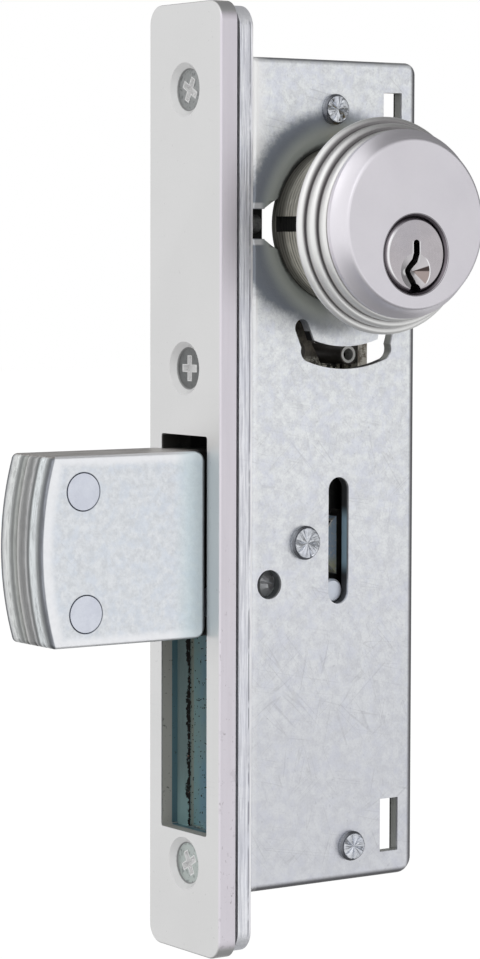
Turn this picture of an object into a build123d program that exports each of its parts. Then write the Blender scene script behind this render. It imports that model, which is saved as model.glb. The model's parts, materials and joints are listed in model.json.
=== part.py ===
from build123d import *
import os
from math import asin, atan2, cos, degrees, hypot, radians, sin

os.makedirs("parts", exist_ok=True)

# A narrow-stile door lock: a laminated bolt swings out of a slim case, moved by a key cylinder.
# The origin is on the front of the faceplate, on its centreline, level with the cylinder's axis.
# +X runs from the faceplate into the door, +Z is up, and the key side is -Y. All sizes are in mm.

overrun = 1.0  # how far a cut runs past the faces that it opens

# Faceplate
face_height = 174.6
face_width = 23.3
face_thickness = 3.6
face_top = 40.1
face_corner = 3.5
face_edge_round = 0.4
window_width = 15.0
window_top = -38.6
window_end_margin = 22.4
window_corner = 0.5

# Faceplate screws, countersunk
face_screw_top_margin = 15.7
face_screw_window_margin = 12.2
face_screw_low_margin = 16.4
face_screw_turns = (28.0, 0.0, 62.0)
countersink_radius = 4.9
head_recess = 1.2
screw_radius = 2.1
screw_hole_clearance = 0.2
screw_tip = 9.6
cross_length = 4.4
cross_width = 1.1
cross_depth = 1.2

# Steel front plate behind the faceplate
plate_gap = 0.6
plate_thickness = 2.9
plate_inset = 0.7
plate_corner = 4.4
plate_window_margin = 0.9
pad_radius = 5.4
fixing_hole_radius = 2.75
fixing_hole_margin = 5.55

# Case, two pressed half shells
case_side_inset = 0.45
case_wall = 2.2
case_back = 44.8
case_top_inset = 9.95
case_bottom_inset = 11.85
case_top_corner = 2.2
case_bottom_corner = 3.0
bend_radius = 1.1
flange_edge = 6.9
far_flange_edge = 3.9
tenon_top_inset = 16.15
tenon_window_margin = 7.6
tenon_bottom_inset = 5.65
tenon_length = 8.0
tenon_clearance = 0.05

# Key cylinder, its hole in the case and its ring
backset = 28.575
cylinder_radius = 14.55
thread_clearance = 0.08
dish_radius = 21.0
dish_depth = 1.6
throat_length = 1.8
throat_lead = 0.3
bay_steps = ((-19.15, 1.85), (-18.3, 2.9), (-16.4, 3.95))
bay_root_half_height = 5.45
door_thickness = 44.45
ring_flange_radius = 19.75
ring_flange_thickness = 1.5
ring_step_radii = (18.5, 17.3)
ring_step_thickness = 2.1
ring_round = 0.7
ring_bore_clearance = 0.4
ring_sag = 0.3
ring_back_edge = 0.5
ring_lip_width = 1.2
ring_lip_height = 0.35
head_radius = 17.05
head_side = 0.9
head_thickness = 3.95
head_face_radius = 15.45
head_bulge = 0.35
head_edge_round = 0.6
groove_width = 2.8
groove_depth = 1.2
groove_end_wall = 1.2
set_screw_radius = 1.7
set_screw_side = 8.4
set_screw_start = 4.5
set_screw_end = 10.1
set_screw_slot_width = 0.8
set_screw_slot_depth = 1.0
channel_half_height = 2.7
channel_floor_clearance = 0.4
lug_half_height = 3.9
lug_wall = 1.1
lug_reach = 12.9
barrel_room = 0.05
barrel_room_half_height = 4.7

# Key plug, its pins and its cam
plug_drop = 5.5
plug_radius = 6.35
plug_flange_radius = 6.75
plug_flange_thickness = 1.6
plug_recess = 0.15
plug_clearance = 0.05
plug_mouth_radius = 7.4
plug_mouth_depth = 0.7
plug_edge = 0.5
plug_rear_gap = 0.1
keyway_width = 1.35
keyway_foot_radius = 1.2
keyway_depth = 23.0
keyway_cone_radius = 3.3
keyway_cone_depth = 0.9
pin_count = 5
pin_pitch = 3.96
first_pin = -26.2
pin_radius = 1.45
pin_hole_clearance = 0.05
key_pin_length = 4.6
pin_shear_gap = 0.25
driver_length = 4.2
chamber_top = 12.6
cover_thickness = 0.9
cover_width = 3.6
cam_thickness = 1.4
cam_hub_radius = 6.2
cam_reach = 12.0
cam_tip_radius = 3.2
cam_screw_radius = 0.9
cam_screw_head_radius = 1.6
cam_screw_side = 3.4
cam_screw_length = 5.0
cam_screw_head_height = 0.7
cam_screw_slot = 0.4
stud_radius = 2.2
stud_short = 0.1

# Slots and holes in the case side
smile_radius = 24.6
smile_width = 4.2
smile_start = -109.5
smile_end = -69.9
lobe_places = ((18.55, -18.95), (38.2, -18.95))
lobe_radius = 1.6
small_hole_place = (11.33, -65.9)
small_hole_radius = 2.7
rear_slot_front = 37.05
rear_slot_back = 41.25
rear_slot_height = 10.1
rear_slot_margin = 5.65

# Rivets and pins that join the shells
top_rivet_x = 25.62
top_rivet_inset = 9.05
bottom_rivet_x = 30.05
bottom_rivet_inset = 6.55
rivet_radius = 2.8
rivet_post_radius = 3.8
rivet_proud = 1.0
rivet_edge = 0.35

# Bolt, five plies on a pivot
pivot_x = 19.07
pivot_z = -58.55
pivot_radius = 3.0
pivot_clearance = 0.05
pivot_head_radius = 3.15
ply_thickness = 2.8
bolt_height = 34.2
bolt_rise = 0.25
bolt_reach = 35.1
bolt_end_radius = 58.0
cheek_back = 0.1
cheek_corner = 2.2
cheek_round = 0.55
ply_break = 0.4
bolt_end_corner = 1.2
core_block_back = 3.5
core_block_corner = 6.0
tail_radius = 14.6
scallop_radius = 6.2
scallop_offset = 8.5
centre_ply_back = 4.6
bolt_rivet_radius = 3.3
bolt_rivet_proud = 0.05
bolt_rivet_ring = 0.2
cheek_rivet_places = ((-26.1, -47.6), (-25.6, -69.5))
core_rivet_place = (3.85, -69.2)
core_rivet_radius = 3.25
tail_rivet_place = (15.9, -66.55)
tail_rivet_radius = 2.9
tail_rivet_proud = 0.25
spacer_radius = 5.2
spacer_gap = 0.3
bush_radius = 3.7

# Lift lever and its drive pin
lift_travel = 19.0
bolt_throw = 90.0
drive_pin_x = 27.04
drive_pin_radius = 2.2
drive_slot_clearance = 0.12
fork_clearance = 0.3
drive_pin_sink = 1.7
lever_thickness = 2.4
lever_half_width = 3.9
lever_head_wall = 3.2
lever_slot_play = 0.7
lever_corner = 2.0
lever_slant_height = 6.4
guide_radius = 1.9
guide_bore = 1.1
guide_gap = 0.15
guide_near_end = -6.0
guide_shoulder_radius = 3.0
guide_shoulder_thickness = 0.8
guide_slot_clearance = 0.05
guide_head_thickness = 0.5

# Places worked out from the sizes above
face_middle = face_top - face_height / 2
face_bottom = face_top - face_height
window_bottom = face_bottom + window_end_margin
window_height = window_top - window_bottom
window_middle = window_top - window_height / 2
face_screw_heights = (
    face_top - face_screw_top_margin,
    window_top + face_screw_window_margin,
    face_bottom + face_screw_low_margin,
)
plate_front = face_thickness + plate_gap
plate_back = plate_front + plate_thickness
case_top = face_top - case_top_inset
case_bottom = face_bottom + case_bottom_inset
case_half = face_width / 2 - case_side_inset
tenon_heights = (
    case_top - tenon_top_inset, window_top + tenon_window_margin, case_bottom + tenon_bottom_inset
)
top_rivet_place = (top_rivet_x, case_top - top_rivet_inset)
bottom_rivet_place = (bottom_rivet_x, case_bottom + bottom_rivet_inset)
case_inside = case_half - case_wall
hole_end = case_half - dish_depth - throat_length
bore_radius = cylinder_radius + thread_clearance
door_face = -door_thickness / 2
ring_front = door_face - ring_flange_thickness - len(ring_step_radii) * ring_step_thickness
ring_seat = ring_front - ring_lip_height
head_face = ring_seat - head_thickness
cylinder_end = -hole_end
plug_end = cylinder_end + plug_rear_gap
plug_z = -plug_drop
plug_face = head_face + plug_recess
pin_low = pivot_z - lift_travel / 2
cam_swing = 2 * degrees(asin(lift_travel / 2 / cam_reach))
stud_x = backset - cam_reach * cos(radians(cam_swing / 2))
stud_z = plug_z - lift_travel / 2
bolt_middle = pivot_z + bolt_rise
core_half = 1.5 * ply_thickness
bolt_half = 2.5 * ply_thickness
lever_half = lever_thickness / 2
stud_end = lever_half - stud_short
channel_floor = set_screw_radius + channel_floor_clearance - set_screw_side


def slab(shape, low, high):
    """A flat outline drawn in X and Z, made solid from y = low to y = high."""
    return extrude(Plane.XZ.offset(-low) * shape, amount=low - high)


def sheet(shape, front, back):
    """A flat outline drawn in Y and Z, made solid from x = front to x = back."""
    return extrude(Plane.YZ.offset(front) * shape, amount=back - front)


def block(x0, x1, y0, y1, z0, z1):
    middle = Pos((x0 + x1) / 2, (y0 + y1) / 2, (z0 + z1) / 2)
    return middle * Box(x1 - x0, y1 - y0, z1 - z0)


def bar(x, z, radius, low, high):
    """A round bar along Y."""
    return slab(Pos(x, z) * Circle(radius), low, high)


def bar_x(y, z, radius, front, back):
    """A round bar along X."""
    return sheet(Pos(y, z) * Circle(radius), front, back)


def capsule(p, q, radius):
    """A slot outline from p to q."""
    length = hypot(q[0] - p[0], q[1] - p[1])
    turn = degrees(atan2(q[1] - p[1], q[0] - p[0]))
    middle = Pos((p[0] + q[0]) / 2, (p[1] + q[1]) / 2)
    return middle * Rot(0, 0, turn) * SlotCenterToCenter(length, 2 * radius)


def spun(points, x=0.0, z=0.0):
    """A closed outline of radius and height, turned about an axis along Y."""
    face = Plane.XY * make_face(Polyline(*points, close=True))
    return Pos(x, 0, z) * revolve(face, Axis.Y)


def far(shape):
    """The same shape on the far side of the lock."""
    return mirror(shape, about=Plane.XZ)


def polar(radius, angle):
    return radius * cos(radians(angle)), radius * sin(radians(angle))


def save(shape, name):
    solids = shape if isinstance(shape, list) else [shape]
    solids = [s for item in solids for s in item.solids()]
    part = solids[0] if len(solids) == 1 else Compound(children=solids)
    export_step(part, "parts/" + name + ".step")


def faceplate():
    outline = RectangleRounded(face_width, face_height, face_corner)
    plate = sheet(Pos(0, face_middle) * outline, 0, face_thickness)
    plate = fillet(plate.faces().sort_by(Axis.X)[0].edges(), face_edge_round)
    window = RectangleRounded(window_width, window_height, window_corner)
    plate -= sheet(Pos(0, window_middle) * window, -overrun, face_thickness + overrun)
    sink_depth = countersink_radius - screw_radius - screw_hole_clearance
    for z in face_screw_heights:
        sink = Cone(countersink_radius, screw_radius + screw_hole_clearance, sink_depth)
        plate -= Pos(sink_depth / 2, 0, z) * Rot(0, 90, 0) * sink
        plate -= bar_x(0, z, screw_radius + screw_hole_clearance, 0, face_thickness + overrun)
    return plate


def faceplate_screws():
    head_radius_top = countersink_radius - head_recess
    head_height = head_radius_top - screw_radius
    screws = []
    for z, turn in zip(face_screw_heights, face_screw_turns):
        head = Pos(head_recess + head_height / 2, 0, z) * Rot(0, 90, 0) * Cone(
            head_radius_top, screw_radius, head_height
        )
        screw = head + bar_x(0, z, screw_radius, head_recess + head_height, screw_tip)
        for arm in (turn, turn + 90):
            cross = Pos(0, z) * Rot(0, 0, arm) * Rectangle(cross_length, cross_width)
            screw -= sheet(cross, head_recess - overrun, head_recess + cross_depth)
        screws.append(screw)
    return screws


def front_plate():
    outline = RectangleRounded(face_width, face_height - 2 * plate_inset, plate_corner)
    plate = sheet(Pos(0, face_middle) * outline, plate_front, plate_back)
    for z in face_screw_heights:
        plate += bar_x(0, z, pad_radius, face_thickness, plate_front + plate_thickness / 2)
    window = RectangleRounded(
        window_width + 2 * plate_window_margin, window_height + 2 * plate_window_margin, window_corner
    )
    plate -= sheet(Pos(0, window_middle) * window, face_thickness - overrun, plate_back + overrun)
    for z in face_screw_heights:
        plate -= bar_x(0, z, screw_radius, face_thickness - overrun, plate_back + overrun)
    for z in (face_top - fixing_hole_margin, face_bottom + fixing_hole_margin):
        plate -= bar_x(0, z, fixing_hole_radius, plate_front - overrun, plate_back + overrun)
    for side in (-1, 1):
        plate -= bar_x(side * set_screw_side, 0, set_screw_radius,
                       plate_front - overrun, plate_back + overrun)
        for z in tenon_heights:
            plate -= tenon(side, z, tenon_clearance, plate_front - overrun, plate_back + overrun)
    return plate


def tenon(side, z, clearance, front, back):
    """A tab of a shell, staked in the front plate."""
    middle = side * (case_inside - case_wall / 2)
    half = case_wall / 2 + clearance
    reach = tenon_length / 2 + clearance
    return block(front, back, middle - half, middle + half, z - reach, z + reach)


def case_outline(inset):
    """The case from the side, with its rear corners rounded."""
    front, back = plate_back + inset, case_back - inset
    low, high = case_bottom + inset, case_top - inset
    top_round = case_top_corner - inset
    low_round = case_bottom_corner - inset
    outline = Pos((front + back) / 2, (low + high) / 2) * Rectangle(back - front, high - low)
    rear = outline.vertices().sort_by(Axis.X)[-2:].sort_by(Axis.Y)
    outline = fillet(rear[1], max(top_round, bend_radius / 2))
    rear = outline.vertices().sort_by(Axis.Y)[:2].sort_by(Axis.X)
    return fillet(rear[1], max(low_round, bend_radius / 2))


def smile_slot():
    """The curved slot below the cylinder, concentric with it, with a lobe at each end."""
    arc = Pos(backset, 0) * CenterArc((0, 0), smile_radius, smile_start, smile_end - smile_start)
    slot = SlotArc(arc, smile_width)
    for angle, lobe in zip((smile_start, smile_end), lobe_places):
        x, z = polar(smile_radius, angle)
        slot += capsule(lobe, (backset + x, z), lobe_radius)
    return slot


def bay_outline():
    """The bay at the front of the cylinder hole, where the set screw points."""
    root = (overrun - bore_radius * cos(asin(bay_root_half_height / bore_radius)), bay_root_half_height)
    upper = [(backset + x, z) for x, z in (*bay_steps, root)]
    lower = [(x, -z) for x, z in reversed(upper)]
    return make_face(Polyline(*upper, *lower, close=True))


def case_shell(rear_flange):
    """The near half of the case: a pan with turned-in edges and a bell-mouth hole.

    Its rear edge is turned in as far as rear_flange from the middle plane.
    """
    near, edge = -case_half, -flange_edge
    outside = slab(case_outline(0), near, -rear_flange)
    outside = fillet(outside.faces().sort_by(Axis.Y)[0].edges(), bend_radius)
    shell = outside - slab(case_outline(case_wall), -case_inside, overrun - rear_flange)
    if rear_flange < flange_edge:
        shell -= block(plate_back - overrun, case_back - case_wall, edge, overrun - rear_flange,
                       case_bottom - overrun, case_top + overrun)
    window_reach = window_height / 2 + plate_window_margin
    shell -= block(plate_back - overrun, plate_back + case_wall + overrun, -case_inside, edge + overrun,
                   window_middle - window_reach, window_middle + window_reach)
    for z in tenon_heights:
        shell += tenon(-1, z, 0, plate_front, plate_back + case_wall)

    # the wall is drawn inwards round the cylinder hole, and the rear edge leaves room for the barrel
    throat = bore_radius + throat_lead
    run = dish_radius - throat
    mouth = (run * run + dish_depth * dish_depth) / (2 * dish_depth)
    shell -= bar(backset, 0, dish_radius, near - overrun, -case_inside)
    barrel_side = backset + bore_radius + barrel_room
    shell -= block(min(case_back - case_wall, barrel_side) - overrun, barrel_side,
                   -case_inside, overrun - rear_flange, -barrel_room_half_height, barrel_room_half_height)
    outer = RadiusArc((dish_radius, near), (throat, near + dish_depth), mouth)
    inner = (
        (bore_radius, near + dish_depth + throat_lead),
        (bore_radius, -hole_end),
        (dish_radius, -case_inside),
    )
    rest = Polyline((throat, near + dish_depth), *inner, (dish_radius, near))
    dish = Pos(backset, 0, 0) * revolve(Plane.XY * make_face(outer + rest), Axis.Y)
    envelope = slab(case_outline(0), near, edge)
    shell += dish & envelope
    shell -= bar(backset, 0, bore_radius, near - overrun, edge + overrun)
    shell -= slab(bay_outline(), near - overrun, edge + overrun)
    lug_back, lug_edge = plate_back + case_wall, channel_floor + lug_wall
    shell += block(plate_back, lug_back, -case_inside, lug_edge, -lug_half_height, lug_half_height)
    shell += block(plate_back, lug_reach, channel_floor, lug_edge, -lug_half_height, lug_half_height)
    channel_back = backset + bay_steps[0][0] + overrun
    shell -= block(plate_back - overrun, channel_back, near - overrun, channel_floor,
                   -channel_half_height, channel_half_height)

    pin_travel = lift_travel / 2
    slot_radius = drive_pin_radius + drive_slot_clearance
    cuts = smile_slot()
    cuts += capsule((drive_pin_x, pivot_z - pin_travel), (drive_pin_x, pivot_z + pin_travel), slot_radius)
    cuts += Pos(*small_hole_place) * Circle(small_hole_radius)
    cuts += Pos(*top_rivet_place) * Circle(rivet_radius)
    cuts += Pos(*bottom_rivet_place) * Circle(rivet_radius)
    cuts += Pos(pivot_x, pivot_z) * Circle(pivot_radius)
    slot_x = (rear_slot_front + rear_slot_back) / 2
    for z in (case_top - rear_slot_margin - rear_slot_height / 2,
              case_bottom + rear_slot_margin - case_wall / 2 + rear_slot_height / 2):
        cuts += Pos(slot_x, z) * Rectangle(rear_slot_back - rear_slot_front, rear_slot_height)
    return shell - slab(cuts, near - overrun, dish_depth + overrun - case_inside)


def guide_studs():
    """Tubular studs riveted in the far shell's curved slot, one each side of the lever."""
    side = lever_half_width + guide_gap + guide_radius
    spigot = smile_width / 2 - guide_slot_clearance
    rear = case_half + guide_head_thickness
    studs = []
    for x in (drive_pin_x - side, drive_pin_x + side):
        z = -smile_radius * cos(asin((x - backset) / smile_radius))
        stud = bar(x, z, guide_radius, guide_near_end, case_inside)
        stud += bar(x, z, guide_shoulder_radius, case_inside - guide_shoulder_thickness, case_inside)
        stud += bar(x, z, spigot, case_inside, case_half)
        stud += bar(x, z, guide_shoulder_radius, case_half, rear)
        studs.append(stud - bar(x, z, guide_bore, guide_near_end - overrun, rear + overrun))
    return studs


def peened_end(x, z, radius):
    """The proud end of a rivet, its edge broken."""
    top = case_half + rivet_proud
    profile = ((0, case_half), (radius, case_half), (radius, top - rivet_edge),
               (radius - rivet_edge, top), (0, top))
    return spun(profile, x, z)


def case_rivets():
    rivets = []
    for x, z in (top_rivet_place, bottom_rivet_place):
        post = bar(x, z, rivet_post_radius, -case_inside, case_inside)
        dish_room = bar(backset, 0, dish_radius, -case_inside - overrun, dish_depth - case_inside)
        post -= [dish_room, far(dish_room)]
        end = peened_end(x, z, rivet_radius)
        rivets.append(post + bar(x, z, rivet_radius, -case_half, case_half) + end + far(end))
    return rivets


def bolt_pivot_pin():
    end = peened_end(pivot_x, pivot_z, pivot_head_radius)
    return bar(pivot_x, pivot_z, pivot_radius, -case_half, case_half) + end + far(end)


def pivot_spacers():
    low, high = core_half + spacer_gap, case_inside
    tube = bar(pivot_x, pivot_z, spacer_radius, low, high)
    tube -= bar(pivot_x, pivot_z, pivot_radius + pivot_clearance, low - overrun, high + overrun)
    return [tube, far(tube)]


def pivot_bush():
    half = ply_thickness / 2
    bush = bar(pivot_x, pivot_z, bush_radius, -half, half)
    return bush - bar(pivot_x, pivot_z, pivot_radius + pivot_clearance, -half - overrun, half + overrun)


def bolt_outline(back, corner):
    """The bolt from the side: a straight body with an arched end, back to the given x."""
    low, high = bolt_middle - bolt_height / 2, bolt_middle + bolt_height / 2
    body = Pos((back - bolt_reach) / 2, bolt_middle) * Rectangle(back + bolt_reach, bolt_height)
    body &= Pos(bolt_end_radius - bolt_reach, bolt_middle) * Circle(bolt_end_radius)
    ends = body.vertices().sort_by(Axis.X)
    body = fillet(ends[:2], bolt_end_corner)
    ends = body.vertices().sort_by(Axis.X)
    return fillet(ends[-2:], corner)


def bolt_cheek():
    """The near outer ply, its outer edge well rounded."""
    cheek = slab(bolt_outline(cheek_back, cheek_corner), -bolt_half, -core_half)
    cheek = fillet(cheek.faces().sort_by(Axis.Y)[0].edges(), cheek_round)
    cheek = chamfer(cheek.faces().sort_by(Axis.Y)[-1].edges(), ply_break)
    for x, z in cheek_rivet_places:
        cheek -= bar(x, z, bolt_rivet_radius, -bolt_half - overrun, -core_half + overrun)
        outside, inside = -bolt_half - bolt_rivet_ring, -bolt_half + bolt_rivet_ring
        ring = ((0, outside), (bolt_rivet_radius + 2 * bolt_rivet_ring, outside),
                (bolt_rivet_radius, inside), (0, inside))
        cheek -= spun(ring, x, z)
    return cheek


def fork_path(step):
    """Where the drive pin's centre lies in the bolt's own frame, step going from 0 to 1 over the travel."""
    rise = lift_travel * (step - 1 / 2)
    side = drive_pin_x - pivot_x
    turn = radians(bolt_throw * step)
    return side * cos(turn) + rise * sin(turn), rise * cos(turn) - side * sin(turn)


def fork_slot():
    """The open slot of the bolt's tail: straight-sided, as wide as the pin's path needs."""
    steps = [fork_path(i / 24) for i in range(25)]
    lean = radians(bolt_throw / 2)
    across = [abs(x * sin(lean) + z * cos(lean)) for x, z in steps]
    half_width = max(across) + drive_pin_radius + fork_clearance
    nearest = min(hypot(x, z) for x, z in steps) - drive_pin_radius - fork_clearance
    start, end = nearest + half_width, tail_radius + 2 * half_width
    p, q = polar(start, -bolt_throw / 2), polar(end, -bolt_throw / 2)
    return Pos(pivot_x, pivot_z) * capsule(p, q, half_width)


def broken_ply(back, low, high):
    """A ply of the bolt's straight body, with both its edges broken."""
    ply = slab(bolt_outline(back, core_block_corner), low, high)
    sides = ply.faces().sort_by(Axis.Y)
    return chamfer(sides[0].edges() + sides[-1].edges(), ply_break)


def core_ply(low, high):
    """A ply that carries the pivot, with the forked tail."""
    ply = broken_ply(pivot_x - core_block_back, low, high)
    ply += slab(Pos(pivot_x, pivot_z) * Circle(tail_radius), low, high)
    cuts = fork_slot()
    cuts += Pos(pivot_x + scallop_offset, pivot_z + scallop_offset) * Circle(scallop_radius)
    cuts += Pos(pivot_x, pivot_z) * Circle(pivot_radius + pivot_clearance)
    ply -= slab(cuts, low - overrun, high + overrun)
    return ply - bolt_rivet_holes(low, high)


def bolt_rivet_holes(low, high):
    holes = bar(*core_rivet_place, core_rivet_radius, low - overrun, high + overrun)
    holes += bar(*tail_rivet_place, tail_rivet_radius, low - overrun, high + overrun)
    for x, z in cheek_rivet_places:
        holes += bar(x, z, bolt_rivet_radius, low - overrun, high + overrun)
    return holes


def centre_ply():
    """The middle ply stops short of the pivot, so that the lever has room."""
    half = ply_thickness / 2
    return broken_ply(pivot_x - centre_ply_back, -half, half) - bolt_rivet_holes(-half, half)


def cheek_rivets():
    half = bolt_half + bolt_rivet_proud
    return [bar(x, z, bolt_rivet_radius, -half, half) for x, z in cheek_rivet_places]


def core_rivets():
    """Two rivets through the core plies; the rear one stands a little proud."""
    half = core_half + tail_rivet_proud
    tail = bar(*tail_rivet_place, tail_rivet_radius, -half, half)
    tail = chamfer(tail.edges().filter_by(GeomType.CIRCLE), tail_rivet_proud)
    return [bar(*core_rivet_place, core_rivet_radius, -core_half, core_half), tail]


def lift_lever():
    """A flat plate: an eye for the drive pin, a straight web, and a head slotted for the cam's stud."""
    slot_half = stud_radius + lever_slot_play
    slot_front = backset - cam_reach
    head_half = slot_half + lever_head_wall
    head_front = slot_front - head_half + lever_slot_play
    head_back, head_low = stud_x + head_half, stud_z - head_half
    left, right = drive_pin_x - lever_half_width, drive_pin_x + lever_half_width
    web = ((left, pin_low), (right, pin_low), (right, head_low - lever_slant_height), (head_back, head_low),
           (left, head_low))
    head = Pos((head_front + head_back) / 2, stud_z) * Rectangle(head_back - head_front, 2 * head_half)
    eye = Pos(drive_pin_x, pin_low) * Circle(lever_half_width)
    outline = eye + make_face(Polyline(*web, close=True)) + head
    inner = outline.vertices().sort_by_distance((left, head_low))[0]
    outline = fillet(inner, lever_corner)
    tops = outline.vertices().group_by(Axis.Y)[-1]
    outline = fillet(tops, lever_corner)
    front = outline.vertices().sort_by_distance((head_front, head_low))[0]
    outline = fillet(front, lever_corner)
    outline -= Pos(drive_pin_x, pin_low) * Circle(drive_pin_radius)
    outline -= capsule((slot_front, stud_z), (stud_x, stud_z), slot_half)
    return slab(outline, -lever_half, lever_half)


def drive_pin():
    end = case_half - drive_pin_sink
    pin = bar(drive_pin_x, pin_low, drive_pin_radius, -end, end)
    rims = pin.edges().filter_by(GeomType.CIRCLE)
    return chamfer(rims, rivet_edge)


def cylinder_body():
    """The threaded barrel with its bevelled head, bored for the plug and the pins."""
    barrel = bar(backset, 0, cylinder_radius, ring_seat, cylinder_end)
    shoulder = (head_radius, ring_seat - head_side)
    crown = Polyline((0, head_face), (0, ring_seat), (head_radius, ring_seat), shoulder)
    bevel = SagittaArc(shoulder, (head_face_radius, head_face), -head_bulge)
    front = Line((head_face_radius, head_face), (0, head_face))
    head = Pos(backset, 0, 0) * revolve(Plane.XY * make_face(crown + bevel + front), Axis.Y)
    rim = head.edges().filter_by(GeomType.CIRCLE).sort_by(Axis.Y)[0]
    head = fillet(rim, head_edge_round)
    body = barrel + head
    for side in (-1, 1):
        groove = backset + side * cylinder_radius
        body -= block(groove - groove_depth, groove + groove_depth, ring_seat, cylinder_end - groove_end_wall,
                      -groove_width / 2, groove_width / 2)
    body -= bar(backset, plug_z, plug_radius + plug_clearance, head_face - overrun, cylinder_end + overrun)
    flange_seat = plug_face + plug_flange_thickness + plug_clearance
    body -= bar(backset, plug_z, plug_flange_radius + plug_clearance, head_face - overrun, flange_seat)
    mouth = ((0, head_face - plug_clearance), (plug_mouth_radius, head_face - plug_clearance),
             (plug_flange_radius, head_face + plug_mouth_depth), (0, head_face + plug_mouth_depth))
    body -= spun(mouth, backset, plug_z)
    for y in pin_rows():
        body -= Pos(backset, y, (plug_z + chamber_top) / 2) * Cylinder(
            pin_radius + pin_hole_clearance, chamber_top - plug_z
        )
    body -= cover_block(cylinder_radius)
    return body


def pin_rows():
    return [first_pin + i * pin_pitch for i in range(pin_count)]


def cover_block(top):
    """The strip that closes the pin chambers, up to the given height; it ends flush with the barrel."""
    low = first_pin - pin_pitch / 2
    return block(backset - cover_width / 2, backset + cover_width / 2, low, cylinder_end, chamber_top, top)


def standing_pins(low, high):
    middle = (low + high) / 2
    return [Pos(backset, y, middle) * Cylinder(pin_radius, high - low) for y in pin_rows()]


def keyway_outline():
    """The keyway seen from the front: straight above, an S-bend below the centre, open at the foot."""
    spine_shares = ((0.03, 0.32), (0.04, 0.06), (0.01, -0.17), (-0.24, -0.46), (-0.06, -0.78), (0, -1))
    centres = [(x * plug_radius, z * plug_radius) for x, z in spine_shares]
    outline = Pos(0, -plug_radius) * Circle(keyway_foot_radius)
    for p, q in zip(centres, centres[1:]):
        outline += capsule(p, q, keyway_width / 2)
    return Pos(backset, plug_z) * outline


def key_plug():
    plug = bar(backset, plug_z, plug_radius, plug_face + plug_flange_thickness, plug_end)
    flange = bar(backset, plug_z, plug_flange_radius, plug_face, plug_face + plug_flange_thickness)
    rim = flange.edges().filter_by(GeomType.CIRCLE).sort_by(Axis.Y)[0]
    plug += chamfer(rim, plug_edge)
    plug -= slab(keyway_outline(), plug_face - overrun, plug_face + keyway_depth)
    cone = ((0, plug_face - overrun), (keyway_cone_radius, plug_face - overrun),
            (keyway_cone_radius, plug_face), (0, plug_face + keyway_cone_depth))
    plug -= spun(cone, backset, plug_z - keyway_cone_radius + keyway_width / 4)
    top = plug_z + plug_radius
    for y in pin_rows():
        hole = pin_radius + pin_hole_clearance
        plug -= Pos(backset, y, top - key_pin_length / 2) * Cylinder(hole, key_pin_length + 2 * pin_shear_gap)
    for side in (-1, 1):
        plug -= bar(backset + side * cam_screw_side, plug_z, cam_screw_radius,
                    plug_end + cam_thickness - cam_screw_length, plug_end + overrun)
    return plug


def cylinder_ring():
    """The stepped trim collar: a flange on the door, two smaller steps and a lip that meets the head.

    It is loose on the barrel and hangs from it.
    """
    bore = cylinder_radius + ring_bore_clearance
    back = door_face - ring_flange_thickness
    ring = bar(backset, -ring_sag, ring_flange_radius, back, door_face)
    rims = ring.edges().filter_by(GeomType.CIRCLE).sort_by(Axis.Y)
    ring = chamfer(rims[-1], ring_back_edge)
    ring = fillet(ring.edges().filter_by(GeomType.CIRCLE).sort_by(Axis.Y)[0], ring_round)
    for radius in ring_step_radii:
        step = bar(backset, -ring_sag, radius, back - ring_step_thickness, back)
        edge = step.edges().filter_by(GeomType.CIRCLE).sort_by(Axis.Y)[0]
        ring += fillet(edge, ring_round)
        back -= ring_step_thickness
    ring += bar(backset, -ring_sag, bore + ring_lip_width, ring_seat, ring_front)
    return ring - bar(backset, -ring_sag, bore, ring_seat - overrun, door_face + overrun)


def cylinder_cam():
    """The plate on the plug's rear end, with the stud that lifts the lever."""
    back = plug_end + cam_thickness
    arm = capsule((backset, plug_z), (stud_x, stud_z), cam_tip_radius)
    plate = slab(Pos(backset, plug_z) * Circle(cam_hub_radius) + arm, plug_end, back)
    for side in (-1, 1):
        plate -= cam_screw(side)
    return plate + bar(stud_x, stud_z, stud_radius, plug_end, stud_end)


def cam_screw(side):
    back = plug_end + cam_thickness
    x = backset + side * cam_screw_side
    head = ((0, back), (cam_screw_head_radius, back), (cam_screw_radius, back - cam_screw_head_height),
            (0, back - cam_screw_head_height))
    shank = bar(x, plug_z, cam_screw_radius, back - cam_screw_length, back - cam_screw_head_height)
    return spun(head, x, plug_z) + shank


def cam_screws():
    back = plug_end + cam_thickness
    screws = []
    for side in (-1, 1):
        x = backset + side * cam_screw_side
        slot = block(x - cam_screw_head_radius, x + cam_screw_head_radius,
                     back - cam_screw_slot, back + overrun,
                     plug_z - cam_screw_slot / 2, plug_z + cam_screw_slot / 2)
        screws.append(cam_screw(side) - slot)
    return screws


def set_screws():
    screw = bar_x(-set_screw_side, 0, set_screw_radius, set_screw_start, set_screw_end)
    screw -= block(set_screw_start - overrun, set_screw_start + set_screw_slot_depth,
                   -set_screw_side - set_screw_radius, -set_screw_side + set_screw_radius,
                   -set_screw_slot_width / 2, set_screw_slot_width / 2)
    return [screw, far(screw)]


def pin_springs():
    """Short coil springs, shut in their chambers, stand as plain sleeves."""
    low = plug_z + plug_radius + pin_shear_gap + driver_length
    outer, bore = pin_radius - pin_hole_clearance, pin_radius / 2
    middle = (low + chamber_top) / 2
    tube = Cylinder(outer, chamber_top - low) - Cylinder(bore, chamber_top - low + overrun)
    return [Pos(backset, y, middle) * tube for y in pin_rows()]


cheek = bolt_cheek()
plug_top = plug_z + plug_radius

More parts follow.
